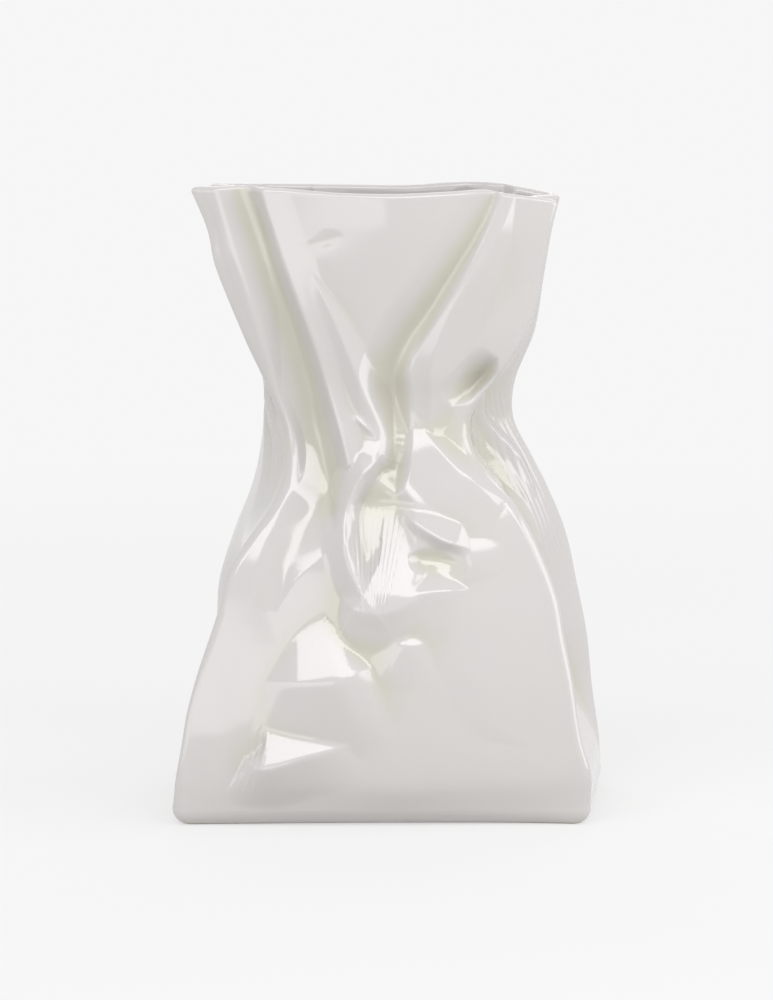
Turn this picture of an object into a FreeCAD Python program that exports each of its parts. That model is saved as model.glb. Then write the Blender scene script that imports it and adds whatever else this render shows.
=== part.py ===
"""Pillow vase: a slab-built vase in the form of a crumpled, upright bag.

Five pieces of clay: a front wall, a back wall, two folded side gussets and the base slab
that they stand on. The walls meet at mitred corners and are bonded by a line of slip.

Millimetres. +Z is up, the front faces -Y and +X is to the viewer's right. The origin is
the middle of the foot, on the table.

Each wall is a height field over its own panel: "across" grows to the right of someone who
faces the panel, "up" is Z, and "out" is how far the skin stands from the vase's axis. The
table values are shares of the named sizes, so the vase follows when a size changes.
"""

import math
import os

import FreeCAD
import Part

# Overall sizes.
height = 220.0              # from the table to the highest point of the rim
base_width = 149.0          # foot, left to right, over the corners
base_depth = 94.0           # foot, front to back, over the corners

# Clay.
wall = 4.0                  # thickness of the rolled walls, measured square to each panel
slab = 6.0                  # thickness of the base slab, which the walls stand on
slip_line = 0.3             # width of the slip joint between two walls, along each wall
corner_radius = 4.0         # outside rounding of the upright corners
lip_soft = 1.2              # width and height of the softened edges of the lip

# Foot.
foot_tuck = 4.5             # how far the base curves in at its corners
edge_tuck = 6.0             # how much further it curves in along the middle of each side
roll_start_angle = 30.0     # degrees: slope of the side where it begins to curve under
foot_ring = 9.0             # width of the bare ring that the vase stands on
recess = 1.5                # depth of the hollow inside that ring

# Relief.
panel_swell = 10.0          # how far the broad walls swell between their corners
gusset_fold = 10.0          # how far the side gussets fold in between their corners
fold_rise = 6.0             # height of a full fold or crease
fold_reach = 20.0           # distance over which a full fold dies away
edge_calm = 7.0             # strip beside each corner where the folds fade out

# Sampling of the surfaces.
rows = 49                   # from the base slab up to the lip
broad_columns = 45          # across the front and the back
side_columns = 21           # across a gusset
roll_rows = 7               # around the curved-under edge of the base
path_steps = 5              # straight steps that smooth each span of a fold's path
column_grading_share = 0.35  # how much closer the columns stand beside the corners
crease_crest_share = 0.16   # rounding of a gusset's crease, as a share of its half width
foot_softness_share = 0.18  # how softly a fold's flank runs out
crest_softness_share = 0.14  # how softly a fold's flank turns over its crest
smallest_reach_share = 0.05  # least reach of a fold where it runs out, as a share of its own
meeting_power = 4           # how sharply two folds meet: high is a crisp line between them
swell_power_share = 1.5     # how gently a broad wall starts to swell beside its corners
corner_steps = 6            # rounds in which an inner corner settles
ease_share = 0.22           # part of each panel's width over which it turns into its corners

half_width = base_width / 2
half_depth = base_depth / 2

# The four upright corners: share of the height, then of the half width and half depth.
front_left_shares = [
    (0.027, -0.99, -0.975), (0.07, -0.985, -0.99), (0.14, -0.952, -0.98), (0.18, -0.933, -0.96),
    (0.24, -0.885, -0.91), (0.33, -0.795, -0.82), (0.40, -0.74, -0.735), (0.45, -0.645, -0.665),
    (0.50, -0.538, -0.59), (0.555, -0.478, -0.50), (0.61, -0.488, -0.42), (0.68, -0.577, -0.385),
    (0.76, -0.69, -0.38), (0.87, -0.828, -0.35), (0.93, -0.87, -0.32), (1.0, -0.96, -0.28),
]
front_right_shares = [
    (0.027, 0.956, -0.80), (0.08, 0.97, -0.84), (0.14, 0.926, -0.84), (0.23, 0.882, -0.80),
    (0.30, 0.838, -0.745), (0.36, 0.804, -0.69), (0.44, 0.711, -0.61), (0.50, 0.608, -0.55),
    (0.565, 0.441, -0.47), (0.62, 0.387, -0.41), (0.67, 0.451, -0.385), (0.71, 0.559, -0.395),
    (0.77, 0.667, -0.395), (0.85, 0.726, -0.385), (0.93, 0.775, -0.38), (1.0, 0.82, -0.35),
]
back_right_shares = [
    (0.027, 1.0, 0.89), (0.08, 1.0, 0.92), (0.16, 0.97, 0.915), (0.25, 0.94, 0.86),
    (0.34, 0.89, 0.76), (0.43, 0.832, 0.64), (0.50, 0.755, 0.51), (0.56, 0.67, 0.40),
    (0.62, 0.59, 0.32), (0.68, 0.597, 0.30), (0.76, 0.69, 0.34), (0.85, 0.735, 0.38),
    (0.93, 0.776, 0.38), (1.0, 0.83, 0.37),
]
back_left_shares = [
    (0.027, -0.985, 0.92), (0.07, -0.985, 0.94), (0.14, -0.95, 0.93), (0.24, -0.89, 0.87),
    (0.34, -0.865, 0.76), (0.43, -0.775, 0.64), (0.50, -0.69, 0.51), (0.56, -0.64, 0.39),
    (0.62, -0.617, 0.32), (0.68, -0.628, 0.30), (0.76, -0.71, 0.33), (0.87, -0.80, 0.34),
    (1.0, -0.90, 0.30),
]

# How far each panel swells out (or, for a gusset, folds in), by share of the height.
front_swell_shares = [
    (0.027, 0.25), (0.06, 0.53), (0.10, 0.62), (0.14, 0.67), (0.24, 0.75), (0.33, 0.80), (0.41, 0.90),
    (0.50, 0.90), (0.57, 0.80), (0.67, 0.80), (0.75, 0.90), (0.86, 1.20), (1.0, 1.50),
]
back_swell_shares = [
    (0.027, -0.05), (0.07, 0.40), (0.14, 0.75), (0.24, 1.22), (0.33, 1.33), (0.43, 1.08), (0.55, 0.85),
    (0.67, 0.80), (0.75, 0.90), (0.86, 1.15), (1.0, 1.40),
]
right_fold_shares = [
    (0.027, 0.0), (0.08, 0.15), (0.14, 0.50), (0.20, 0.90), (0.30, 1.10), (0.41, 1.10), (0.50, 0.85),
    (0.57, 0.55), (0.64, 0.45), (0.71, 0.70), (0.80, 0.90), (0.90, 1.0), (1.0, 1.0),
]
left_fold_shares = [
    (0.027, 0.0), (0.09, 0.20), (0.18, 0.60), (0.27, 0.80), (0.36, 0.70), (0.43, 0.20),
    (0.50, -0.20), (0.57, -0.30), (0.64, -0.10), (0.70, 0.40), (0.80, 0.80), (0.90, 1.0), (1.0, 1.1),
]
# Half width of the flat triangle that a gusset's crease opens into near the foot.
crease_opening_shares = [(0.027, 0.92), (0.10, 0.75), (0.20, 0.45), (0.32, 0.0), (1.0, 0.0)]

# The rim's height along each panel, from its first corner to its second.
front_rim_shares = [
    (0.0, 0.998), (0.14, 1.0), (0.25, 0.998), (0.41, 0.993), (0.56, 0.991), (0.70, 0.994),
    (0.80, 0.997), (0.88, 0.990), (1.0, 0.980),
]
right_rim_shares = [(0.0, 0.980), (1.0, 0.980)]
back_rim_shares = [
    (0.0, 0.980), (0.16, 0.995), (0.28, 0.996), (0.44, 0.990), (0.68, 0.992), (0.85, 0.994), (1.0, 0.996),
]
left_rim_shares = [(0.0, 0.996), (1.0, 0.998)]

# Folds. Each has a path of (share of the half width or half depth across, share of the
# height up), its rise at each point of the path as a share of fold_rise, and its reach to
# either side as shares of fold_reach: first on the right hand of someone who follows the
# path, then on the left hand. The second reach narrows where the fold is lower.
front_fold_shares = [
    # The deep valley that runs down beside the left flap, its ridges and its lower branch.
    ([(-0.69, 1.04), (-0.64, 0.98), (-0.55, 0.885), (-0.45, 0.775), (-0.38, 0.69), (-0.32, 0.59),
      (-0.27, 0.51), (-0.24, 0.46)],
     [-0.5, -0.6, -0.7, -0.8, -0.95, -1.2, -1.2, 0.0], 0.60, 0.50),
    ([(-0.84, 1.04), (-0.71, 0.90), (-0.60, 0.79), (-0.50, 0.67)], [0.35, 0.4, 0.35, 0.0], 0.45, 0.40),
    ([(-0.60, 1.02), (-0.52, 0.915), (-0.44, 0.84), (-0.34, 0.76), (-0.265, 0.668), (-0.19, 0.59),
      (-0.15, 0.52)],
     [0.35, 0.45, 0.5, 0.5, 0.5, 0.45, 0.0], 0.25, 0.60),
    ([(-0.29, 0.515), (-0.36, 0.485), (-0.42, 0.445), (-0.47, 0.405), (-0.50, 0.34)],
     [-0.7, -0.6, -0.4, -0.25, 0.0], 0.50, 0.90),
    # The left arm of the V over the waist, and the S-fold that goes on from it down the belly.
    ([(-0.36, 0.875), (-0.24, 0.79), (-0.12, 0.69), (-0.03, 0.62), (-0.04, 0.582), (-0.09, 0.555)],
     [0.0, 0.45, 0.65, 0.75, 0.8, 0.0], 0.40, 0.50),
    ([(-0.05, 0.60), (-0.06, 0.572), (-0.12, 0.547), (-0.175, 0.508), (-0.19, 0.472), (-0.165, 0.426),
      (-0.10, 0.374), (-0.02, 0.338), (0.06, 0.30)],
     [0.0, 0.75, 0.85, 0.9, 0.95, 0.95, 0.95, 0.6, 0.0], 0.45, 0.30),
    ([(-0.19, 0.655), (-0.12, 0.632), (-0.05, 0.61)], [0.0, 0.4, 0.5], 0.15, 0.25),
    # The right arm of the V: a valley that runs on down the waist, and the ridge beside it.
    ([(0.54, 1.04), (0.47, 0.97), (0.34, 0.885), (0.22, 0.82), (0.09, 0.758), (0.03, 0.71),
      (0.03, 0.66), (0.04, 0.56), (0.035, 0.49)],
     [-0.3, -0.4, -0.5, -0.6, -0.75, -0.9, -1.0, -0.8, 0.0], 0.60, 0.35),
    ([(0.60, 1.0), (0.50, 0.92), (0.41, 0.87), (0.28, 0.796), (0.22, 0.73), (0.205, 0.67), (0.22, 0.58)],
     [0.0, 0.30, 0.5, 0.55, 0.55, 0.5, 0.0], 0.35, 0.60),
    # The pit beside the right flap.
    ([(0.51, 0.73), (0.42, 0.695), (0.30, 0.655)], [0.0, -1.0, 0.0], 0.45, 0.45),
    # The crumple under the waist: ridges, facets that look up and the dent between them.
    ([(0.15, 0.63), (0.22, 0.60), (0.33, 0.562), (0.44, 0.538), (0.56, 0.51)],
     [0.0, 0.5, 0.65, 0.6, 0.0], 0.80, 0.25),
    ([(0.06, 0.50), (0.16, 0.475), (0.25, 0.456), (0.33, 0.446), (0.40, 0.44)],
     [0.0, 0.4, 0.55, 0.5, 0.0], 0.20, 0.40),
    ([(0.08, 0.43), (0.21, 0.422), (0.34, 0.418)], [0.0, -0.35, 0.0], 0.25, 0.25),
    ([(0.36, 0.455), (0.395, 0.43), (0.405, 0.41), (0.37, 0.38)], [0.0, 0.14, 0.14, 0.0], 0.15, 0.60),
    ([(0.03, 0.366), (0.15, 0.372), (0.28, 0.376), (0.40, 0.377)], [0.0, 0.5, 0.45, 0.0], 1.0, 0.32),
    # The pocket under the waist and the nose that its floor climbs to.
    ([(0.22, 0.375), (0.13, 0.362), (0.04, 0.35), (-0.05, 0.345), (-0.13, 0.352), (-0.21, 0.37)],
     [0.0, 0.7, 0.95, 1.0, 0.95, 0.0], 1.6, 0.8),
    ([(-0.17, 0.505), (-0.08, 0.505), (0.02, 0.507), (0.14, 0.508)], [0.0, -0.65, -0.7, 0.0], 1.5, 0.60),
    ([(0.0, 0.305), (0.10, 0.29), (0.21, 0.297)], [0.0, 0.35, 0.0], 0.8, 0.40),
    # The belly: two facets that look up, and soft upright rolls.
    ([(-0.56, 0.232), (-0.40, 0.234), (-0.24, 0.238), (-0.15, 0.246), (-0.05, 0.258)],
     [0.0, 0.75, 1.05, 0.8, 0.0], 1.5, 1.20),
    ([(-0.65, 0.112), (-0.55, 0.10), (-0.35, 0.12), (-0.12, 0.139)], [0.0, 1.0, 0.8, 0.0], 0.8, 0.70),
    ([(0.68, 0.13), (0.50, 0.175), (0.43, 0.24), (0.40, 0.33), (0.37, 0.39)],
     [0.0, 0.10, 0.14, 0.18, 0.0], 1.3, 0.80),
    ([(-0.62, 0.40), (-0.64, 0.27), (-0.63, 0.15)], [0.0, 0.1, 0.0], 0.50, 0.60),
    ([(-0.42, 0.905), (-0.34, 0.912), (-0.27, 0.918), (-0.21, 0.93)], [0.0, -0.04, -0.10, 0.0], 0.15, 0.20),
]
back_fold_shares = [
    ([(-0.58, 0.99), (-0.45, 0.85), (-0.30, 0.73), (-0.14, 0.62), (-0.10, 0.52)],
     [-0.4, -0.7, -0.9, -0.8, 0.0], 0.55, 0.45),
    ([(-0.36, 0.99), (-0.28, 0.86), (-0.15, 0.75), (-0.04, 0.64)], [0.2, 0.5, 0.6, 0.2], 0.40, 0.70),
    ([(0.60, 0.99), (0.48, 0.86), (0.33, 0.74), (0.20, 0.64), (0.16, 0.52), (0.20, 0.43)],
     [0.2, 0.5, 0.7, 0.8, 0.7, 0.0], 0.50, 0.60),
    ([(0.38, 0.97), (0.26, 0.84), (0.12, 0.72), (0.05, 0.60), (0.03, 0.48)],
     [-0.2, -0.6, -0.8, -1.0, 0.0], 0.60, 0.40),
    ([(-0.20, 0.60), (-0.28, 0.52), (-0.24, 0.43), (-0.10, 0.36)], [0.3, 0.7, 0.7, 0.0], 0.60, 0.45),
    ([(-0.42, 0.50), (-0.52, 0.42), (-0.56, 0.32)], [-0.2, -0.5, 0.0], 0.50, 0.50),
    ([(-0.12, 0.44), (0.03, 0.425), (0.18, 0.435)], [-0.2, -0.5, -0.2], 0.40, 0.30),
    ([(-0.20, 0.37), (0.0, 0.36), (0.22, 0.37)], [0.2, 0.5, 0.2], 0.60, 0.35),
    ([(0.05, 0.25), (0.30, 0.24), (0.54, 0.25)], [0.15, 0.45, 0.15], 0.40, 1.0),
    ([(0.08, 0.20), (0.30, 0.195), (0.50, 0.20)], [-0.15, -0.3, -0.1], 0.40, 0.35),
    ([(-0.50, 0.16), (-0.30, 0.15), (-0.08, 0.16)], [0.1, 0.3, 0.1], 0.50, 0.60),
]
right_gusset_fold_shares = [
    ([(-0.22, 0.68), (-0.05, 0.62), (0.15, 0.56), (0.28, 0.49)], [0.1, 0.45, 0.4, 0.0], 0.22, 0.25),
    ([(-0.25, 0.61), (-0.05, 0.55), (0.20, 0.47)], [-0.1, -0.4, 0.0], 0.22, 0.25),
]
left_gusset_fold_shares = [
    ([(-0.20, 0.66), (0.0, 0.60), (0.22, 0.52)], [-0.1, -0.4, 0.0], 0.25, 0.25),
    ([(-0.10, 0.72), (0.05, 0.67), (0.20, 0.61)], [0.1, 0.35, 0.0], 0.25, 0.22),
]


def curve_at(table, where, column=1):
    """Smooth curve through a table's rows, read at a share: a cubic with matched slopes."""
    last = len(table) - 1
    if where <= table[0][0]:
        return table[0][column]
    if where >= table[last][0]:
        return table[last][column]
    low = 0
    while table[low + 1][0] < where:
        low += 1
    start, end = table[low], table[low + 1]
    span = end[0] - start[0]

    def slope(index):
        before, after = table[max(index - 1, 0)], table[min(index + 1, last)]
        return (after[column] - before[column]) / (after[0] - before[0])

    part = (where - start[0]) / span
    rest = 1 - part
    return (
        start[column] * (1 + 2 * part) * rest ** 2
        + end[column] * (3 - 2 * part) * part ** 2
        + slope(low) * span * part * rest ** 2
        - slope(low + 1) * span * rest * part ** 2
    )


def eased(part):
    """Goes from 0 to 1 in a straight line whose ends start and stop gently."""
    gain = 1 / (1 - ease_share)
    if part < ease_share:
        return gain * part ** 2 / (2 * ease_share)
    if part > 1 - ease_share:
        return 1 - gain * (1 - part) ** 2 / (2 * ease_share)
    return gain * (part - ease_share / 2)


def flank(ratio, crest):
    """Profile of a fold: 1 on its crest, 0 at its reach, nearly straight in between."""
    if ratio >= 1:
        return 0.0
    fall = (math.hypot(ratio, crest) - crest) / (math.hypot(1, crest) - crest)
    top = 1 - fall
    return (1 + foot_softness_share) * top ** 2 / (top + foot_softness_share)


def smooth_path(fold, half_across):
    """A fold's path as short straight steps in millimetres: (across, up, rise)."""
    places, rises = fold[0], fold[1]
    rows_of = [(p[0] * half_across, p[1] * height, r * fold_rise) for p, r in zip(places, rises)]
    padded = [rows_of[0]] + rows_of + [rows_of[-1]]
    path = []
    for before, start, end, after in zip(padded, padded[1:], padded[2:], padded[3:]):
        for step in range(path_steps):
            t = step / path_steps
            path.append(tuple(
                0.5 * (2 * b + (c - a) * t + (2 * a - 5 * b + 4 * c - d) * t ** 2
                       + (3 * b - a - 3 * c + d) * t ** 3)
                for a, b, c, d in zip(before, start, end, after)
            ))
    path.append(rows_of[-1])
    return path


class Fold:
    """One ridge or valley of a panel.

    Its reach is the same all along on the near side (before). On the far side (beyond) it
    narrows as the fold gets lower, so that a ridge ends there in a pointed, flat facet.
    """

    def __init__(self, shares, half_across):
        self.path = smooth_path(shares, half_across)
        self.before = shares[2] * fold_reach
        self.beyond = shares[3] * fold_reach
        self.fullest = max(abs(p[2]) for p in self.path)
        reach = max(self.before, self.beyond)
        self.low = [min(p[axis] for p in self.path) - reach for axis in (0, 1)]
        self.high = [max(p[axis] for p in self.path) + reach for axis in (0, 1)]

    def rise(self, across, up):
        if not (self.low[0] < across < self.high[0] and self.low[1] < up < self.high[1]):
            return 0.0
        nearest, rise, side = None, 0.0, 0.0
        for start, end in zip(self.path, self.path[1:]):
            run, climb = end[0] - start[0], end[1] - start[1]
            off, over = across - start[0], up - start[1]
            t = min(max((off * run + over * climb) / (run ** 2 + climb ** 2), 0), 1)
            gap = math.hypot(off - t * run, over - t * climb)
            if nearest is None or gap < nearest:
                nearest = gap
                rise = start[2] + (end[2] - start[2]) * t
                side = run * over - climb * off
        strength = max(abs(rise) / self.fullest, smallest_reach_share)
        reach = self.beyond * strength if side > 0 else self.before
        return rise * flank(nearest / reach, crest_softness_share)


def relief_of(folds, across, up):
    """Ridges that meet share one height, and so do valleys; neither piles up on the other."""
    rises = [fold.rise(across, up) for fold in folds]
    ridges = sum(max(rise, 0) ** meeting_power for rise in rises) ** (1 / meeting_power)
    valleys = sum(max(-rise, 0) ** meeting_power for rise in rises) ** (1 / meeting_power)
    return ridges - valleys


class Panel:
    """One wall: its outer skin as out = skin(across, up)."""

    def __init__(self, turn, corners, swell, rim, folds, half_across, columns, creased):
        self.turn = turn
        self.corners = corners
        self.swell = swell
        self.rim = rim
        self.folds = [Fold(shares, half_across) for shares in folds]
        self.columns = columns
        self.creased = creased

    def corner(self, end, up):
        """Place of the panel's first (0) or second (1) corner: (across, out)."""
        share = up / height
        x = curve_at(self.corners[end], share, 1) * half_width
        y = curve_at(self.corners[end], share, 2) * half_depth
        return [(x, -y), (y, x), (-x, y), (-y, -x)][self.turn]

    def place(self, across, out, up):
        """A place of the panel in the vase's own frame."""
        x, y = [(across, -out), (out, across), (-across, out), (-out, -across)][self.turn]
        return FreeCAD.Vector(x, y, up)

    def skin(self, across, up):
        first, second = self.corner(0, up), self.corner(1, up)
        width = second[0] - first[0]
        part = min(max((across - first[0]) / width, 0), 1)
        out = first[1] + (second[1] - first[1]) * eased(part)
        amount = curve_at(self.swell, up / height)
        if self.creased:
            opening = curve_at(crease_opening_shares, up / height)
            ratio = max(abs(2 * part - 1) - opening, 0) / (1 - opening)
            out -= gusset_fold * amount * flank(ratio, crease_crest_share)
        else:
            out += panel_swell * amount * (4 * part * (1 - part)) ** swell_power_share
        margin = min(across - first[0], second[0] - across)
        calm = min(max(margin / edge_calm, 0), 1)
        out += relief_of(self.folds, across, up) * calm ** 2 * (3 - 2 * calm)
        if margin < corner_radius:
            missing = corner_radius - max(margin, 0)
            out -= corner_radius - math.sqrt(corner_radius ** 2 - missing ** 2)
        return out

    def rim_height(self, part):
        return curve_at(self.rim, part) * height


def make_panels():
    front = Panel(0, (front_left_shares, front_right_shares), front_swell_shares, front_rim_shares,
                  front_fold_shares, half_width, broad_columns, False)
    right = Panel(1, (front_right_shares, back_right_shares), right_fold_shares, right_rim_shares,
                  right_gusset_fold_shares, half_depth, side_columns, True)
    back = Panel(2, (back_right_shares, back_left_shares), back_swell_shares, back_rim_shares,
                 back_fold_shares, half_width, broad_columns, False)
    left = Panel(3, (back_left_shares, front_left_shares), left_fold_shares, left_rim_shares,
                 left_gusset_fold_shares, half_depth, side_columns, True)
    return [front, right, back, left]


def graded(index, count):
    """Share of the way across for a column; the columns stand closer beside the corners."""
    part = index / (count - 1)
    return part - column_grading_share * math.sin(2 * math.pi * part) / (2 * math.pi)


def outer_ends(panel, up, gap):
    """Where the outer skin begins and ends across the panel: half way round its corners."""
    cut = corner_radius * (1 - math.sqrt(0.5)) + gap
    return panel.corner(0, up)[0] + cut, panel.corner(1, up)[0] - cut


def inner_corner(panel, following, up):
    """Where the inner faces of a panel and the one after it meet: (across, out)."""
    across, out = panel.corner(1, up)
    across, out = across - wall, out - wall
    for _ in range(corner_steps):
        out = panel.skin(across, up) - wall
        across = following.skin(-out, up) - wall
    return across, out


def inner_ends(panels, index, up, gap):
    before, panel, following = panels[index - 1], panels[index], panels[(index + 1) % len(panels)]
    first = -inner_corner(before, panel, up)[1]
    second = inner_corner(panel, following, up)[0]
    return first + gap, second - gap


def skin_grid(panels, index, inside):
    """Grid of places on a wall's outer or inner face, row by row from the slab to the lip."""
    panel = panels[index]
    grid = []
    for row in range(rows):
        line = []
        for column in range(panel.columns):
            part = graded(column, panel.columns)
            top = panel.rim_height(part) - lip_soft
            up = slab + (top - slab) * row / (rows - 1)
            if inside:
                start, end = inner_ends(panels, index, up, slip_line / 2)
            else:
                start, end = outer_ends(panel, up, slip_line / 2)
            across = start + (end - start) * part
            out = panel.skin(across, up) - (wall if inside else 0)
            line.append(panel.place(across, out, up))
        grid.append(line)
    return grid


def surface_through(grid):
    surface = Part.BSplineSurface()
    surface.interpolate(grid)
    return surface.toShape()


def curve_through(places):
    curve = Part.BSplineCurve()
    curve.interpolate(places)
    return curve.toShape()


def edge_between(shape, start, end):
    """The edge of a face that joins two of its corners."""
    for edge in shape.Edges:
        ends = [vertex.Point for vertex in edge.Vertexes]
        for a, b in (ends, ends[::-1]):
            if (a - start).Length + (b - end).Length < wall / 1000:
                return edge
    raise ValueError("no such edge")


def solid_from(faces):
    shell = Part.makeShell(faces)
    shell.sewShape()
    solid = Part.makeSolid(shell.Shells[0] if shell.Shells else shell)
    if solid.Volume < 0:
        solid.reverse()
    return solid


def make_wall(panels, index):
    """A wall: outer and inner faces, a softened lip, mitred ends and a flat bottom."""
    outer_grid = skin_grid(panels, index, False)
    inner_grid = skin_grid(panels, index, True)
    outer, inner = surface_through(outer_grid), surface_through(inner_grid)

    soft_part = lip_soft / wall
    lift = FreeCAD.Vector(0, 0, lip_soft)
    pairs = list(zip(outer_grid[-1], inner_grid[-1]))
    crest_out = [a + (b - a) * soft_part + lift for a, b in pairs]
    crest_in = [b + (a - b) * soft_part + lift for a, b in pairs]
    outer_lip = edge_between(outer, outer_grid[-1][0], outer_grid[-1][-1])
    inner_lip = edge_between(inner, inner_grid[-1][0], inner_grid[-1][-1])
    lip_edges = [outer_lip, curve_through(crest_out), curve_through(crest_in), inner_lip]
    faces = [outer, inner]
    faces += [Part.makeRuledSurface(a, b) for a, b in zip(lip_edges, lip_edges[1:])]

    for end in (0, -1):
        outer_side = edge_between(outer, outer_grid[0][end], outer_grid[-1][end])
        inner_side = edge_between(inner, inner_grid[0][end], inner_grid[-1][end])
        faces.append(Part.makeRuledSurface(outer_side, inner_side))
        corners = [outer_grid[-1][end], crest_out[end], crest_in[end], inner_grid[-1][end]]
        faces.append(Part.Face(Part.makePolygon(corners + corners[:1])))

    outer_foot = edge_between(outer, outer_grid[0][0], outer_grid[0][-1])
    inner_foot = edge_between(inner, inner_grid[0][0], inner_grid[0][-1])
    faces.append(Part.makeRuledSurface(outer_foot, inner_foot))
    return solid_from(faces)


def base_grid(panel):
    """Grid of places on the base's curved-under side, from the walls down to the table."""
    grid = []
    start, end = outer_ends(panel, slab, 0)
    for row in range(roll_rows):
        line = []
        for column in range(panel.columns):
            part = graded(column, panel.columns)
            middle = 4 * part * (1 - part)
            first_angle = math.radians(roll_start_angle) * middle
            angle = first_angle + (math.pi / 2 - first_angle) * row / (roll_rows - 1)
            tuck = 1 - math.cos(angle) / math.cos(first_angle)
            drop = (math.sin(angle) - math.sin(first_angle)) / (1 - math.sin(first_angle))
            across = start + (end - start) * part
            out = panel.skin(across, slab)
            side = panel.place(across, out - edge_tuck * middle * tuck, slab - slab * drop)
            side.x *= 1 - tuck * foot_tuck / half_width
            side.y *= 1 - tuck * foot_tuck / half_depth
            line.append(side)
        grid.append(line)
    return grid


def closed_wire(places):
    curve = Part.BSplineCurve()
    curve.interpolate(Points=places, PeriodicFlag=True)
    return Part.Wire(curve.toShape())


def make_base(panels):
    """The base slab: a flat top, a curved-under side and a foot ring around a recess."""
    grids = [base_grid(panel) for panel in panels]
    outlines = [sum((grid[row][:-1] for grid in grids), []) for row in range(roll_rows)]
    slab_solid = Part.makeLoft([closed_wire(outline) for outline in outlines], True)

    narrower = 1 - foot_ring / (half_width - foot_tuck)
    shallower = 1 - foot_ring / (half_depth - foot_tuck)
    pocket_outline = [FreeCAD.Vector(p.x * narrower, p.y * shallower, 0) for p in outlines[-1]]
    pocket = Part.Face(closed_wire(pocket_outline)).extrude(FreeCAD.Vector(0, 0, recess))
    return slab_solid.cut(pocket)


def main():
    os.makedirs("parts", exist_ok=True)
    panels = make_panels()
    pieces = {
        "front_wall": make_wall(panels, 0),
        "right_gusset": make_wall(panels, 1),
        "back_wall": make_wall(panels, 2),
        "left_gusset": make_wall(panels, 3),
        "base_slab": make_base(panels),
    }
    for name, shape in pieces.items():
        shape.exportStep(f"parts/{name}.step")
        box = shape.BoundBox
        print(name, "valid", shape.isValid(), "solids", len(shape.Solids), "cm3", round(shape.Volume / 1000, 1),
              "x", round(box.XMin, 1), round(box.XMax, 1), "y", round(box.YMin, 1), round(box.YMax, 1),
              "z", round(box.ZMin, 1), round(box.ZMax, 1))


main()
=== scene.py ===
# %% [markdown]
# A pillow vase is a bag made of clay. Four soft slabs are joined into a paper-bag shape, the
# waist is pinched in by hand, and the whole thing is dipped in a white glaze and fired. This
# lesson dresses the plain construction model: first the crumpled skin, then the foot, then
# the glaze, the light and the camera. Everything is in metres.

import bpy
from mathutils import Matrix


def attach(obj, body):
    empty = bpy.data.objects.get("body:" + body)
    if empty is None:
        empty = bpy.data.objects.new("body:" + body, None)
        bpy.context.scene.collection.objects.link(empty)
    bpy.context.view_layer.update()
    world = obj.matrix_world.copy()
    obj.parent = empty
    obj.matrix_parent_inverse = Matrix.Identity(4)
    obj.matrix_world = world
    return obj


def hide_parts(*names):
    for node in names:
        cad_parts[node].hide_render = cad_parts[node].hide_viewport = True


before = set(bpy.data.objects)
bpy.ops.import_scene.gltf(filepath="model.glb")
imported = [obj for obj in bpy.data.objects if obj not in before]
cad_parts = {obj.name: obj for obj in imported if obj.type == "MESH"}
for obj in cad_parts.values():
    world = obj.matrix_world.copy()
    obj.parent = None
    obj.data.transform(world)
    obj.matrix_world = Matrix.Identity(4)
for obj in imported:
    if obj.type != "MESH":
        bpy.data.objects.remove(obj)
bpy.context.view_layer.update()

# %% Modules and units
import math

import bpy
import numpy as np
from mathutils import Vector, noise

mm = 0.001
print("Blender", bpy.app.version_string)

# %% [markdown]
# The vase's sizes come first, so that every later step can be read as a share of them. They
# are the sizes of the clay itself: how tall it stands, how wide its foot is, and how thick
# the walls were rolled.

# %% Sizes of the vase
height = 220 * mm
half_width = 74.5 * mm
half_depth = 47 * mm
wall = 4 * mm
slab = 6 * mm
corner_radius = 4 * mm
panel_swell = 10 * mm
gusset_fold = 10 * mm
fold_rise = 6 * mm
fold_reach = 20 * mm
edge_calm = 7 * mm

# %% [markdown]
# A bag has four upright corners. Each row below holds one height, as a share of the vase's
# height, and where the corner stands there, as shares of the half width and half depth of
# the foot. The waist is where all four come together, near 0.6 of the height.

# %% The four upright corners
front_left_shares = [
    (0.027, -0.99, -0.975), (0.07, -0.985, -0.99), (0.14, -0.952, -0.98), (0.18, -0.933, -0.96),
    (0.24, -0.885, -0.91), (0.33, -0.795, -0.82), (0.40, -0.74, -0.735), (0.45, -0.645, -0.665),
    (0.50, -0.538, -0.59), (0.555, -0.478, -0.50), (0.61, -0.488, -0.42), (0.68, -0.577, -0.385),
    (0.76, -0.69, -0.38), (0.87, -0.828, -0.35), (0.93, -0.87, -0.32), (1.0, -0.96, -0.28),
]
front_right_shares = [
    (0.027, 0.956, -0.80), (0.08, 0.97, -0.84), (0.14, 0.926, -0.84), (0.23, 0.882, -0.80),
    (0.30, 0.838, -0.745), (0.36, 0.804, -0.69), (0.44, 0.711, -0.61), (0.50, 0.608, -0.55),
    (0.565, 0.441, -0.47), (0.62, 0.387, -0.41), (0.67, 0.451, -0.385), (0.71, 0.559, -0.395),
    (0.77, 0.667, -0.395), (0.85, 0.726, -0.385), (0.93, 0.775, -0.38), (1.0, 0.82, -0.35),
]
back_right_shares = [
    (0.027, 1.0, 0.89), (0.08, 1.0, 0.92), (0.16, 0.97, 0.915), (0.25, 0.94, 0.86),
    (0.34, 0.89, 0.76), (0.43, 0.832, 0.64), (0.50, 0.755, 0.51), (0.56, 0.67, 0.40),
    (0.62, 0.59, 0.32), (0.68, 0.597, 0.30), (0.76, 0.69, 0.34), (0.85, 0.735, 0.38),
    (0.93, 0.776, 0.38), (1.0, 0.83, 0.37),
]
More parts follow.
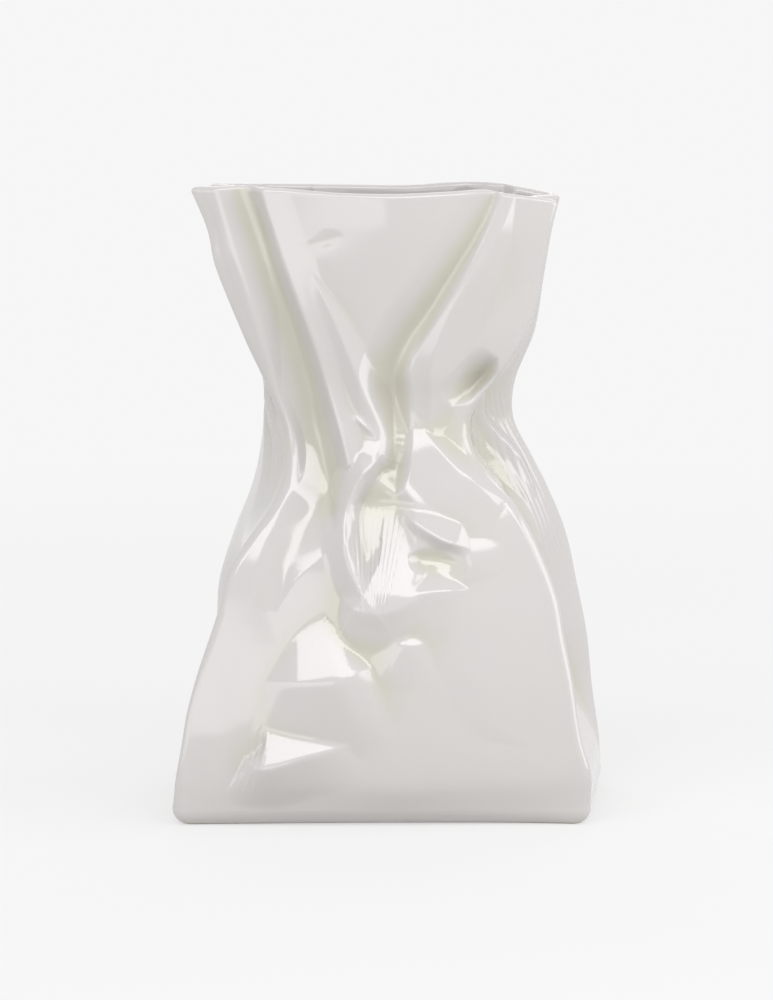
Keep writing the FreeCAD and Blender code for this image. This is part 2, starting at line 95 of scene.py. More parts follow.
back_left_shares = [
    (0.027, -0.985, 0.92), (0.07, -0.985, 0.94), (0.14, -0.95, 0.93), (0.24, -0.89, 0.87),
    (0.34, -0.865, 0.76), (0.43, -0.775, 0.64), (0.50, -0.69, 0.51), (0.56, -0.64, 0.39),
    (0.62, -0.617, 0.32), (0.68, -0.628, 0.30), (0.76, -0.71, 0.33), (0.87, -0.80, 0.34),
    (1.0, -0.90, 0.30),
]
print("corners read at", len(front_left_shares), "to", len(front_right_shares), "heights")

# %% [markdown]
# Between two corners a broad wall swells like a cushion, and a side gusset folds in along
# an upright crease, as on a paper bag. Near the foot that crease opens into a flat triangle.

# %% Swell of the broad walls and folds of the gussets
front_swell_shares = [
    (0.027, 0.25), (0.06, 0.53), (0.10, 0.62), (0.14, 0.67), (0.24, 0.75), (0.33, 0.80), (0.41, 0.90),
    (0.50, 0.90), (0.57, 0.80), (0.67, 0.80), (0.75, 0.90), (0.86, 1.20), (1.0, 1.50),
]
back_swell_shares = [
    (0.027, -0.05), (0.07, 0.40), (0.14, 0.75), (0.24, 1.22), (0.33, 1.33), (0.43, 1.08), (0.55, 0.85),
    (0.67, 0.80), (0.75, 0.90), (0.86, 1.15), (1.0, 1.40),
]
right_fold_shares = [
    (0.027, 0.0), (0.08, 0.15), (0.14, 0.50), (0.20, 0.90), (0.30, 1.10), (0.41, 1.10), (0.50, 0.85),
    (0.57, 0.55), (0.64, 0.45), (0.71, 0.70), (0.80, 0.90), (0.90, 1.0), (1.0, 1.0),
]
left_fold_shares = [
    (0.027, 0.0), (0.09, 0.20), (0.18, 0.60), (0.27, 0.80), (0.36, 0.70), (0.43, 0.20),
    (0.50, -0.20), (0.57, -0.30), (0.64, -0.10), (0.70, 0.40), (0.80, 0.80), (0.90, 1.0), (1.0, 1.1),
]
crease_opening_shares = [(0.027, 0.92), (0.10, 0.75), (0.20, 0.45), (0.32, 0.0), (1.0, 0.0)]
print("front stands out", round(max(s for _, s in front_swell_shares) * panel_swell / mm, 1), "mm")

# %% [markdown]
# The mouth was cut by eye, so the rim dips and rises. Each wall's rim is read from left to
# right as its viewer sees it, and each height is a share of the vase's height.

# %% The uneven rim
front_rim_shares = [
    (0.0, 0.998), (0.14, 1.0), (0.25, 0.998), (0.41, 0.993), (0.56, 0.991), (0.70, 0.994),
    (0.80, 0.997), (0.88, 0.990), (1.0, 0.980),
]
right_rim_shares = [(0.0, 0.980), (1.0, 0.980)]
back_rim_shares = [
    (0.0, 0.980), (0.16, 0.995), (0.28, 0.996), (0.44, 0.990), (0.68, 0.992), (0.85, 0.994), (1.0, 0.996),
]
left_rim_shares = [(0.0, 0.996), (1.0, 0.998)]
print("rim between", min(s for _, s in front_rim_shares) * height, "and", height)

# %% [markdown]
# The folds are what the eye reads first. A fold is a path over its wall, with a rise at each
# point (below zero for a valley) and a reach to either side: first on the right hand of
# someone who follows the path, then on the left hand, where it narrows as the fold gets
# lower. The last number says how sharp the crest is: small is a crisp crease.

# %% Folds of the front wall
front_fold_shares = [
    ([(-0.69, 1.04), (-0.64, 0.98), (-0.55, 0.885), (-0.45, 0.775), (-0.38, 0.69), (-0.32, 0.59),
      (-0.27, 0.51), (-0.24, 0.46)],
     [-0.5, -0.6, -0.7, -0.8, -0.95, -1.2, -1.2, 0.0], 0.60, 0.50, 0.14),
    ([(-0.84, 1.04), (-0.71, 0.90), (-0.60, 0.79), (-0.50, 0.67)], [0.35, 0.4, 0.35, 0.0], 0.45, 0.40, 0.2),
    ([(-0.60, 1.02), (-0.52, 0.915), (-0.44, 0.84), (-0.34, 0.76), (-0.265, 0.668), (-0.19, 0.59),
      (-0.15, 0.52)],
     [0.35, 0.45, 0.5, 0.5, 0.5, 0.45, 0.0], 0.25, 0.60, 0.08),
    ([(-0.29, 0.515), (-0.36, 0.485), (-0.42, 0.445), (-0.47, 0.405), (-0.50, 0.34)],
     [-0.7, -0.6, -0.4, -0.25, 0.0], 0.50, 0.90, 0.14),
    ([(-0.36, 0.875), (-0.24, 0.79), (-0.12, 0.69), (-0.03, 0.62), (-0.04, 0.582), (-0.09, 0.555)],
     [0.0, 0.45, 0.65, 0.75, 0.8, 0.0], 0.40, 0.50, 0.08),
    ([(-0.05, 0.60), (-0.06, 0.572), (-0.12, 0.547), (-0.175, 0.508), (-0.19, 0.472), (-0.165, 0.426),
      (-0.10, 0.374), (-0.02, 0.338), (0.06, 0.30)],
     [0.0, 0.75, 0.85, 0.9, 0.95, 0.95, 0.95, 0.6, 0.0], 0.45, 0.30, 0.08),
    ([(-0.19, 0.655), (-0.12, 0.632), (-0.05, 0.61)], [0.0, 0.4, 0.5], 0.15, 0.25, 0.06),
    ([(0.54, 1.04), (0.47, 0.97), (0.34, 0.885), (0.22, 0.82), (0.09, 0.758), (0.03, 0.71),
      (0.03, 0.66), (0.04, 0.56), (0.035, 0.49)],
     [-0.3, -0.4, -0.5, -0.6, -0.75, -0.9, -1.0, -0.8, 0.0], 0.60, 0.35, 0.12),
    ([(0.60, 1.0), (0.50, 0.92), (0.41, 0.87), (0.28, 0.796), (0.22, 0.73), (0.205, 0.67), (0.22, 0.58)],
     [0.0, 0.30, 0.5, 0.55, 0.55, 0.5, 0.0], 0.35, 0.60, 0.12),
    ([(0.51, 0.73), (0.42, 0.695), (0.30, 0.655)], [0.0, -1.0, 0.0], 0.45, 0.45, 0.14),
    ([(0.15, 0.63), (0.22, 0.60), (0.33, 0.562), (0.44, 0.538), (0.56, 0.51)],
     [0.0, 0.5, 0.65, 0.6, 0.0], 0.80, 0.25, 0.06),
    ([(0.06, 0.50), (0.16, 0.475), (0.25, 0.456), (0.33, 0.446), (0.40, 0.44)],
     [0.0, 0.4, 0.55, 0.5, 0.0], 0.20, 0.40, 0.06),
    ([(0.08, 0.43), (0.21, 0.422), (0.34, 0.418)], [0.0, -0.35, 0.0], 0.25, 0.25, 0.20),
    ([(0.36, 0.455), (0.395, 0.43), (0.405, 0.41), (0.37, 0.38)], [0.0, 0.14, 0.14, 0.0], 0.15, 0.60, 0.10),
    ([(0.03, 0.366), (0.15, 0.372), (0.28, 0.376), (0.40, 0.377)], [0.0, 0.5, 0.45, 0.0], 1.0, 0.32, 0.06),
    ([(0.22, 0.375), (0.13, 0.362), (0.04, 0.35), (-0.05, 0.345), (-0.13, 0.352), (-0.21, 0.37)],
     [0.0, 0.7, 0.95, 1.0, 0.95, 0.0], 1.6, 0.8, 0.06),
    ([(-0.17, 0.505), (-0.08, 0.505), (0.02, 0.507), (0.14, 0.508)],
     [0.0, -0.65, -0.7, 0.0], 1.5, 0.60, 0.10),
    ([(0.0, 0.305), (0.10, 0.29), (0.21, 0.297)], [0.0, 0.35, 0.0], 0.8, 0.40, 0.06),
    ([(-0.56, 0.232), (-0.40, 0.234), (-0.24, 0.238), (-0.15, 0.246), (-0.05, 0.258)],
     [0.0, 0.75, 1.05, 0.8, 0.0], 1.5, 1.20, 0.06),
    ([(-0.65, 0.112), (-0.55, 0.10), (-0.35, 0.12), (-0.12, 0.139)], [0.0, 1.0, 0.8, 0.0], 0.8, 0.70, 0.06),
    ([(0.68, 0.13), (0.50, 0.175), (0.43, 0.24), (0.40, 0.33), (0.37, 0.39)],
     [0.0, 0.10, 0.14, 0.18, 0.0], 1.3, 0.80, 0.30),
    ([(-0.62, 0.40), (-0.64, 0.27), (-0.63, 0.15)], [0.0, 0.1, 0.0], 0.50, 0.60, 0.40),
    ([(-0.42, 0.905), (-0.34, 0.912), (-0.27, 0.918), (-0.21, 0.93)],
     [0.0, -0.04, -0.10, 0.0], 0.15, 0.20, 0.3),
]
print("front wall:", len(front_fold_shares), "folds")

# %% Folds of the back wall and the gussets
back_fold_shares = [
    ([(-0.58, 0.99), (-0.45, 0.85), (-0.30, 0.73), (-0.14, 0.62), (-0.10, 0.52)],
     [-0.4, -0.7, -0.9, -0.8, 0.0], 0.55, 0.45, 0.14),
    ([(-0.36, 0.99), (-0.28, 0.86), (-0.15, 0.75), (-0.04, 0.64)], [0.2, 0.5, 0.6, 0.2], 0.40, 0.70, 0.14),
    ([(0.60, 0.99), (0.48, 0.86), (0.33, 0.74), (0.20, 0.64), (0.16, 0.52), (0.20, 0.43)],
     [0.2, 0.5, 0.7, 0.8, 0.7, 0.0], 0.50, 0.60, 0.14),
    ([(0.38, 0.97), (0.26, 0.84), (0.12, 0.72), (0.05, 0.60), (0.03, 0.48)],
     [-0.2, -0.6, -0.8, -1.0, 0.0], 0.60, 0.40, 0.14),
    ([(-0.20, 0.60), (-0.28, 0.52), (-0.24, 0.43), (-0.10, 0.36)], [0.3, 0.7, 0.7, 0.0], 0.60, 0.45, 0.14),
    ([(-0.42, 0.50), (-0.52, 0.42), (-0.56, 0.32)], [-0.2, -0.5, 0.0], 0.50, 0.50, 0.14),
    ([(-0.12, 0.44), (0.03, 0.425), (0.18, 0.435)], [-0.2, -0.5, -0.2], 0.40, 0.30, 0.14),
    ([(-0.20, 0.37), (0.0, 0.36), (0.22, 0.37)], [0.2, 0.5, 0.2], 0.60, 0.35, 0.14),
    ([(0.05, 0.25), (0.30, 0.24), (0.54, 0.25)], [0.15, 0.45, 0.15], 0.40, 1.0, 0.14),
    ([(0.08, 0.20), (0.30, 0.195), (0.50, 0.20)], [-0.15, -0.3, -0.1], 0.40, 0.35, 0.14),
    ([(-0.50, 0.16), (-0.30, 0.15), (-0.08, 0.16)], [0.1, 0.3, 0.1], 0.50, 0.60, 0.14),
]
right_gusset_fold_shares = [
    ([(-0.22, 0.68), (-0.05, 0.62), (0.15, 0.56), (0.28, 0.49)], [0.1, 0.45, 0.4, 0.0], 0.22, 0.25, 0.14),
    ([(-0.25, 0.61), (-0.05, 0.55), (0.20, 0.47)], [-0.1, -0.4, 0.0], 0.22, 0.25, 0.14),
]
left_gusset_fold_shares = [
    ([(-0.20, 0.66), (0.0, 0.60), (0.22, 0.52)], [-0.1, -0.4, 0.0], 0.25, 0.25, 0.14),
    ([(-0.10, 0.72), (0.05, 0.67), (0.20, 0.61)], [0.1, 0.35, 0.0], 0.25, 0.22, 0.14),
]
print("back wall:", len(back_fold_shares), "folds")

# %% [markdown]
# Two small helpers read those tables. One draws a smooth curve through a table's rows. The
# other gives the profile of a fold: full on the crest, gone at its reach, and nearly
# straight between, because glazed clay bends into facets rather than waves.

# %% Curves and profiles
ease_share = 0.22
foot_softness_share = 0.18
crease_crest_share = 0.16
swell_power_share = 1.5
path_steps = 6
smallest_reach_share = 0.05
meeting_power = 4


def curve_at(table, where, column=1):
    keys = np.array([row[0] for row in table])
    values = np.array([row[column] for row in table], float)
    before = np.r_[0, np.arange(len(keys) - 1)]
    after = np.r_[np.arange(1, len(keys)), len(keys) - 1]
    slopes = (values[after] - values[before]) / (keys[after] - keys[before])
    where = np.clip(where, keys[0], keys[-1])
    low = np.clip(np.searchsorted(keys, where, "right") - 1, 0, len(keys) - 2)
    span = keys[low + 1] - keys[low]
    part = (where - keys[low]) / span
    rest = 1 - part
    return (
        values[low] * (1 + 2 * part) * rest ** 2
        + values[low + 1] * (3 - 2 * part) * part ** 2
        + slopes[low] * span * part * rest ** 2
        - slopes[low + 1] * span * rest * part ** 2
    )


def eased(part):
    gain = 1 / (1 - ease_share)
    start = gain * part ** 2 / (2 * ease_share)
    end = 1 - gain * (1 - part) ** 2 / (2 * ease_share)
    middle = gain * (part - ease_share / 2)
    return np.where(part < ease_share, start, np.where(part > 1 - ease_share, end, middle))


def flank(ratio, crest):
    fall = (np.hypot(ratio, crest) - crest) / (math.hypot(1, crest) - crest)
    top = np.clip(1 - fall, 0, None)
    return (1 + foot_softness_share) * top ** 2 / (top + foot_softness_share)


print("half way down its flank the crease keeps", round(float(flank(0.5, crease_crest_share)), 2))

# %% [markdown]
# A fold is measured in the plane of its wall. Its path is drawn as a smooth curve, every
# point of the wall looks for the nearest stretch of that path, and its distance from there
# says how much of the fold's rise it takes. A crumple is many such folds laid together.

# %% One fold over a wall
def smooth_path(places, rises, half_across):
    points = np.array([(x * half_across, z * height, r * fold_rise) for (x, z), r in zip(places, rises)])
    padded = np.vstack([points[:1], points, points[-1:]])
    path = []
    for a, b, c, d in zip(padded, padded[1:], padded[2:], padded[3:]):
        for t in np.arange(path_steps) / path_steps:
            path.append(0.5 * (2 * b + (c - a) * t + (2 * a - 5 * b + 4 * c - d) * t ** 2
                               + (3 * b - a - 3 * c + d) * t ** 3))
    path.append(points[-1])
    return np.array(path)


def rise_of(fold, half_across, across, up):
    places, rises, before, beyond, crest = fold
    path = smooth_path(places, rises, half_across)
    reach = max(before, beyond) * fold_reach
    low, high = path[:, :2].min(0) - reach, path[:, :2].max(0) + reach
    near = (across > low[0]) & (across < high[0]) & (up > low[1]) & (up < high[1])
    u, z = across[near], up[near]
    best, rise, side = np.full(u.shape, np.inf), np.zeros(u.shape), np.zeros(u.shape)
    for start, end in zip(path, path[1:]):
        run, climb = end[0] - start[0], end[1] - start[1]
        off, over = u - start[0], z - start[1]
        t = np.clip((off * run + over * climb) / (run ** 2 + climb ** 2), 0, 1)
        gap = np.hypot(off - t * run, over - t * climb)
        closer = gap < best
        best = np.where(closer, gap, best)
        rise = np.where(closer, start[2] + (end[2] - start[2]) * t, rise)
        side = np.where(closer, run * over - climb * off, side)
    strength = np.maximum(np.abs(rise) / np.abs(path[:, 2]).max(), smallest_reach_share)
    reach_here = np.where(side > 0, beyond * strength, before) * fold_reach
    result = np.zeros(across.shape)
    result[near] = rise * flank(best / reach_here, crest)
    return result


def relief_of(folds, half_across, across, up):
    """Ridges that meet share one height, and so do valleys; neither piles up on the other."""
    ridges, valleys = np.zeros(across.shape), np.zeros(across.shape)
    for fold in folds:
        rise = rise_of(fold, half_across, across, up)
        ridges += np.clip(rise, 0, None) ** meeting_power
        valleys += np.clip(-rise, 0, None) ** meeting_power
    return ridges ** (1 / meeting_power) - valleys ** (1 / meeting_power)


# %% [markdown]
# Between its two corners a wall is a height field: for each place across and up the panel it
# says how far out the clay stands. The corners turn in with a small radius and the folds die
# away beside them, so that two neighbouring walls meet in one smooth edge.

# %% The skin of one wall
class Panel:
    def __init__(self, turn, corners, swell, rim, folds, half_across, creased):
        self.turn, self.corners, self.swell, self.rim = turn, corners, swell, rim
        self.folds, self.half_across, self.creased = folds, half_across, creased

    def corner(self, end, up):
        x = curve_at(self.corners[end], up / height, 1) * half_width
        y = curve_at(self.corners[end], up / height, 2) * half_depth
        return [(x, -y), (y, x), (-x, y), (-y, -x)][self.turn]

    def place(self, across, out, up):
        x, y = [(across, -out), (out, across), (-across, out), (-out, -across)][self.turn]
        return np.stack([x, y, up], axis=-1)

    def skin(self, across, up):
        (start, out_start), (end, out_end) = self.corner(0, up), self.corner(1, up)
        part = np.clip((across - start) / (end - start), 0, 1)
        out = out_start + (out_end - out_start) * eased(part)
        amount = curve_at(self.swell, up / height)
        if self.creased:
            opening = curve_at(crease_opening_shares, up / height)
            ratio = np.clip(np.abs(2 * part - 1) - opening, 0, None) / (1 - opening)
            out = out - gusset_fold * amount * flank(ratio, crease_crest_share)
        else:
            out = out + panel_swell * amount * (4 * part * (1 - part)) ** swell_power_share
        margin = np.minimum(across - start, end - across)
        calm = np.clip(margin / edge_calm, 0, 1)
        relief = relief_of(self.folds, self.half_across, across, up)
        out = out + relief * calm ** 2 * (3 - 2 * calm)
        missing = np.clip(corner_radius - margin, 0, corner_radius)
        return out - (corner_radius - np.sqrt(corner_radius ** 2 - missing ** 2))


# %% The four walls in ring order
front = Panel(0, (front_left_shares, front_right_shares), front_swell_shares, front_rim_shares,
              front_fold_shares, half_width, False)
right = Panel(1, (front_right_shares, back_right_shares), right_fold_shares, right_rim_shares,
              right_gusset_fold_shares, half_depth, True)
back = Panel(2, (back_right_shares, back_left_shares), back_swell_shares, back_rim_shares,
             back_fold_shares, half_width, False)
left = Panel(3, (back_left_shares, front_left_shares), left_fold_shares, left_rim_shares,
             left_gusset_fold_shares, half_depth, True)
panels = [front, right, back, left]
wall_nodes = ["front_wall", "right_gusset", "back_wall", "left_gusset"]
wall_columns = [208, 96, 176, 96]
print("walls:", ", ".join(wall_nodes))

# %% [markdown]
# The bag is worked out as one closed ring of columns before it is cut into its walls. Each
# column climbs the outside, rolls over the lip and goes down the inside to the floor. One
# ring for all four walls keeps the glaze unbroken where they meet, as it is on the vase.

# %% Rows and columns of the ring
outer_rows = 300
inner_rows = 150
lip_rows = 12
roll_rows = 22
grading_share = 0.35
inner_grading_share = 0.5
corner_steps = 6
lip_radius = wall / 2
floor_fillet = 3 * mm


def graded(count):
    part = np.arange(count + 1) / count
    return part - grading_share * np.sin(2 * np.pi * part) / (2 * np.pi)


def heights(panel, part, rows, grading):
    climb = np.linspace(0, 1, rows)[:, None]
    climb = climb + grading * np.sin(np.pi * climb) / np.pi
    top = curve_at(panel.rim, part)[None, :] * height - lip_radius
    return slab + (top - slab) * climb


# %% The outer and the inner face of a wall
def inner_corner(panel, following, up):
    across, out = panel.corner(1, up)
    across, out = across - wall, out - wall
    for _ in range(corner_steps):
        out = panel.skin(across, up) - wall
        across = following.skin(-out, up) - wall
    return across, out


def outer_face(index, count):
    panel, part = panels[index], graded(count)
    up = heights(panel, part, outer_rows, 0)
    cut = corner_radius * (1 - math.sqrt(0.5))
    start, end = panel.corner(0, up)[0] + cut, panel.corner(1, up)[0] - cut
    across = start + (end - start) * part[None, :]
    return panel.place(across, panel.skin(across, up), up)


def inner_face(index, count):
    before, panel, following = panels[index - 1], panels[index], panels[(index + 1) % 4]
    part = graded(count)
    up = heights(panel, part, inner_rows, inner_grading_share)
    start = -inner_corner(before, panel, up)[1]
    end = inner_corner(panel, following, up)[0]
    across = start + (end - start) * part[None, :]
    missing = np.clip(floor_fillet - (up - slab), 0, floor_fillet)
    fillet = floor_fillet - np.sqrt(floor_fillet ** 2 - missing ** 2)
    return panel.place(across, panel.skin(across, up) - wall - fillet, up)


def ring_of(blocks):
    for block, following in zip(blocks, blocks[1:] + blocks[:1]):
        shared = (block[:, -1] + following[:, 0]) / 2
        block[:, -1], following[:, 0] = shared, shared
    return np.concatenate([block[:, :-1] for block in blocks], axis=1)


outer = ring_of([outer_face(i, n) for i, n in enumerate(wall_columns)])
inner = ring_of([inner_face(i, n) for i, n in enumerate(wall_columns)])
print("ring:", outer.shape[1], "columns,", outer_rows, "rows outside and", inner_rows, "inside")

# %% Soften the inner corners, where slip is smoothed in with a finger
corner_columns = np.cumsum([0] + wall_columns[:-1])
finger_columns = 9
finger_strokes = 30
finger_share = 0.5
stroke = np.zeros(inner.shape[1])
for column in corner_columns:
    for step in range(1 - finger_columns, finger_columns):
        stroke[(column + step) % len(stroke)] = finger_share * (1 - abs(step) / finger_columns)
for _ in range(finger_strokes):
    middle = (np.roll(inner, 1, axis=1) + np.roll(inner, -1, axis=1)) / 2
    inner = inner + (middle - inner) * stroke[None, :, None]
print("inner corners smoothed over", 2 * finger_columns, "columns each")

# %% [markdown]
# The lip is a half round over the wall's thickness. At the foot the clay curves under, more
# in the middle of each side than at the corners, so the vase seems to stand on its corners.

# %% Roll the lip and the foot
turns = (np.arange(lip_rows + 1) / lip_rows * math.pi)[1:-1]
lip_middle, lip_reach = (outer[-1] + inner[-1]) / 2, (outer[-1] - inner[-1]) / 2
upwards = np.array([0, 0, lip_radius])
lip = np.stack([lip_middle + lip_reach * math.cos(a) + upwards * math.sin(a) for a in turns])

foot_tuck = 4.5 * mm
edge_tuck = 6 * mm
roll_start_angle = 30
parts = np.concatenate([graded(count)[:-1] for count in wall_columns])
middle_share = 4 * parts * (1 - parts)
facings = [np.tile(panel.place(0.0, 1.0, 0.0), (count, 1)) for panel, count in zip(panels, wall_columns)]
outwards = np.concatenate(facings)


def foot_row(turned):
    first = np.radians(roll_start_angle) * middle_share
    angle = first + (math.pi / 2 - first) * turned
    tuck = 1 - np.cos(angle) / np.cos(first)
    drop = (np.sin(angle) - np.sin(first)) / (1 - np.sin(first))
    place = outer[0] - outwards * (edge_tuck * middle_share * tuck)[:, None]
    place[:, 0] *= 1 - tuck * foot_tuck / half_width
    place[:, 1] *= 1 - tuck * foot_tuck / half_depth
    place[:, 2] = slab * (1 - drop)
    return place


foot_roll = np.stack([foot_row(1 - row / roll_rows) for row in range(roll_rows)])
ring = np.concatenate([foot_roll, outer, lip, inner[::-1]])
print("ring rows from the foot over the lip to the floor:", len(ring))

# %% [markdown]
# Hand-rolled clay is never quite even. A soft unevenness, about half a millimetre deep,
# is pressed into the skin along its own direction. It only ever goes inwards, so the vase
# stays inside its construction size. The direction of the skin is measured once more after
# that, on the whole ring, and given to the walls as their shading.

# %% Directions of the skin, and its unevenness
def directions(grid):
    along = np.roll(grid, -1, axis=1) - np.roll(grid, 1, axis=1)
    facing = np.cross(along, np.gradient(grid, axis=0))
    return facing / np.maximum(np.linalg.norm(facing, axis=-1, keepdims=True), 1e-12)


def unevenness(grid, size):
    values = [noise.noise(Vector(place) / size) for place in grid.reshape(-1, 3)]
    return np.array(values).reshape(grid.shape[:2])


uneven_depth = 0.55 * mm
uneven_size = 28 * mm
dents = (unevenness(ring, uneven_size) + 1) / 2
settle = np.clip(ring[..., 2] / slab - 1, 0, 1)
ring = ring - directions(ring) * (uneven_depth * dents * settle)[..., None]
skin_directions = directions(ring)
print("deepest unevenness:", round(float((dents * settle).max() * uneven_depth / mm), 2), "mm")

# %% [markdown]
# Glaze runs off the ridges and gathers in the valleys, where it looks more ivory. The same
# colour is also a little darker there, and that darkening is painted shade in the hollows. How
# hollow the skin is at each point is found by smoothing the ring and asking whether the smoothed
# skin lies outside or inside the real one. The answer goes to the glaze as an attribute.

# %% How hollow the skin is
hollow_strokes = [140, 400]
hollow_depths = [2.2 * mm, 3.4 * mm]


def hollows(grid, facing):
    pool_and_shade, smooth, done = np.zeros(grid.shape[:2]), grid.copy(), 0
    for strokes, depth in zip(hollow_strokes, hollow_depths):
        for _ in range(done, strokes):
            smooth = (np.roll(smooth, 1, 1) + np.roll(smooth, -1, 1) + 2 * smooth) / 4
            smooth[1:-1] = (smooth[2:] + smooth[:-2] + 2 * smooth[1:-1]) / 4
        done = strokes
        pool_and_shade += np.clip(((smooth - grid) * facing).sum(-1) / depth, -1, 1) / len(hollow_strokes)
    return pool_and_shade


# The hollowness sets both the ivory of pooled glaze and the painted shade in the hollows.
pool_and_shade = hollows(ring, skin_directions)
print("hollow from", round(float(pool_and_shade.min()), 2), "to", round(float(pool_and_shade.max()), 2))

# %% [markdown]
# Where the clay was squeezed hardest it shows bundles of fine pleats, finer than the columns
# of the ring. They are left to the glaze's bump. Each bundle has a line over its wall, a
# width at both of its ends and a number of pleats. The skin learns two things from it: how
# many pleats away from the line a point lies, and how strongly the pleats show there. Less
# glaze gathers on them, and they take less of the painted shade of the hollows.

# %% Bundles of fine pleats
pleat_bundles = [
    (0, (-0.03, 0.50), (-0.05, 0.345), 21 * mm, 9 * mm, 10, 1.0),
    (0, (-0.55, 0.165), (-0.60, 0.095), 7 * mm, 5 * mm, 3, 0.8),
    (1, (0.00, 0.68), (0.42, 0.38), 12 * mm, 14 * mm, 6, 1.0),
    (1, (-0.30, 0.66), (0.02, 0.50), 8 * mm, 6 * mm, 4, 0.8),
    (3, (0.10, 0.68), (0.30, 0.48), 12 * mm, 12 * mm, 5, 0.7),
]
pleat_fade = 0.25
pleat_pool_and_shade_cut = 0.6
first_lip_row = roll_rows + outer_rows


def pleats(grid):
    count, depth = np.zeros(grid.shape[:2]), np.zeros(grid.shape[:2])
    for index, top, bottom, top_width, bottom_width, number, strength in pleat_bundles:
        columns = corner_columns[index] + np.arange(wall_columns[index])
        x, y = grid[:, columns, 0], grid[:, columns, 1]
        sideways = [x, y, -x, -y][index]
        start = np.array([top[0] * panels[index].half_across, top[1] * height])
        end = np.array([bottom[0] * panels[index].half_across, bottom[1] * height])
        length = np.linalg.norm(end - start)
        run, climb = (end - start) / length
        off, over = sideways - start[0], grid[:, columns, 2] - start[1]
        along = (off * run + over * climb) / length
        aside = off * climb - over * run
        half = (top_width + (bottom_width - top_width) * np.clip(along, 0, 1)) / 2
        margin = np.minimum(1 - np.abs(aside) / half, np.minimum(along, 1 - along) * 2)
        shown = np.clip(margin / pleat_fade, 0, 1) * strength
        shown[first_lip_row:] = 0
        inside = shown > 0
        count[:, columns] = np.where(inside, aside / half * number / 2, count[:, columns])
        depth[:, columns] = np.maximum(depth[:, columns], shown)
    return count, depth


pleat_count, pleat_depth = pleats(ring)
pool_and_shade = pool_and_shade * (1 - pleat_pool_and_shade_cut * pleat_depth)
print("bundles of pleats:", len(pleat_bundles))

# %% [markdown]
# Each wall starts as a flat grid, like a rolled slab of clay, and is pressed into the shape
# of its part of the ring. Its two long sides and its foot are then closed in edit mode by
# bridging, and the small half rounds at the ends of the lip are filled. So every wall is a
# closed body of clay with a real thickness, as on a bench.

# %% Helpers for picking and closing edges
def chain_edges(piece, chain, closed=False):
    """Which edges join two neighbours of a chain of points."""
    place = np.full(len(piece.data.vertices), -1)
    place[chain] = np.arange(len(chain))
    ends = np.empty(2 * len(piece.data.edges), int)
    piece.data.edges.foreach_get("vertices", ends)
    first, second = place[ends].reshape(-1, 2).T
    step = np.abs(first - second)
    return (first >= 0) & (second >= 0) & ((step == 1) | (closed & (step == len(chain) - 1)))


def close_over(piece, chosen, operator):
    mesh = piece.data
    mesh.polygons.foreach_set("select", np.zeros(len(mesh.polygons), bool))
    mesh.vertices.foreach_set("select", np.zeros(len(mesh.vertices), bool))
    mesh.edges.foreach_set("select", chosen)
    bpy.context.tool_settings.mesh_select_mode = (False, True, False)
    bpy.ops.object.mode_set(mode="EDIT")
    operator()
    bpy.ops.object.mode_set(mode="OBJECT")


def face_outwards():
    bpy.ops.object.mode_set(mode="EDIT")
    bpy.ops.mesh.select_all(action="SELECT")
    bpy.ops.mesh.normals_make_consistent(inside=False)
    bpy.ops.object.mode_set(mode="OBJECT")


# %% Helper for the shading and the hollows
def shade(piece, facing, values, skin_faces):
    """The skin faces, which come first, get the ring's directions; closing faces keep theirs."""
    mesh = piece.data
    corners = np.empty(len(mesh.loops), int)
    mesh.loops.foreach_get("vertex_index", corners)
    sides = np.empty(len(mesh.polygons), int)
    mesh.polygons.foreach_get("loop_total", sides)
    owners = np.repeat(np.arange(len(sides)), sides)
    flat = np.empty(3 * len(mesh.polygons))
    mesh.polygons.foreach_get("normal", flat)
    loops = np.where((owners < skin_faces)[:, None], facing[corners], flat.reshape(-1, 3)[owners])
    mesh.polygons.foreach_set("use_smooth", np.ones(len(mesh.polygons), bool))
    mesh.normals_split_custom_set(loops.tolist())
    for name, value in values.items():
        painted = mesh.attributes.new(name, "FLOAT", "POINT")
        painted.data.foreach_set("value", value.astype(np.float32).ravel())
    mesh.update()


# %% One wall, pressed from a flat slab
lip_start = outer_rows - 1
lip_end = outer_rows + lip_rows - 1


def make_wall(name, start, count):
    columns = np.arange(start, start + count + 1) % ring.shape[1]
    places = ring[roll_rows:, columns]
    rows, across = places.shape[:2]
    bpy.ops.object.select_all(action="DESELECT")
    bpy.ops.mesh.primitive_grid_add(
        x_subdivisions=across - 1, y_subdivisions=rows - 1, size=height, calc_uvs=False)
    piece = bpy.context.active_object
    piece.name = piece.data.name = name
    piece.data.vertices.foreach_set("co", places.ravel())
    index = np.arange(rows * across).reshape(rows, across)
    foot_edges = chain_edges(piece, index[0]) | chain_edges(piece, index[-1])
    close_over(piece, foot_edges, bpy.ops.mesh.bridge_edge_loops)
    for side in (0, -1):
        outside, inside = index[:lip_start + 1, side], index[lip_end:, side]
        side_edges = chain_edges(piece, outside) | chain_edges(piece, inside)
        close_over(piece, side_edges, bpy.ops.mesh.bridge_edge_loops)
        lip_edges = chain_edges(piece, index[lip_start:lip_end + 1, side], closed=True)
        close_over(piece, lip_edges, bpy.ops.mesh.edge_face_add)
    face_outwards()
    facing = skin_directions[roll_rows:, columns].reshape(-1, 3)
    painted = {"hollow": pool_and_shade, "pleat_count": pleat_count, "pleat_depth": pleat_depth}
    painted = {name: value[roll_rows:, columns] for name, value in painted.items()}
    shade(piece, facing, painted, (rows - 1) * (across - 1))
    return piece


walls = []
for node, start, count in zip(wall_nodes, corner_columns, wall_columns):
    walls.append(make_wall(node + "_glazed", start, count))
    print(walls[-1].name, "has", len(walls[-1].data.polygons), "faces")

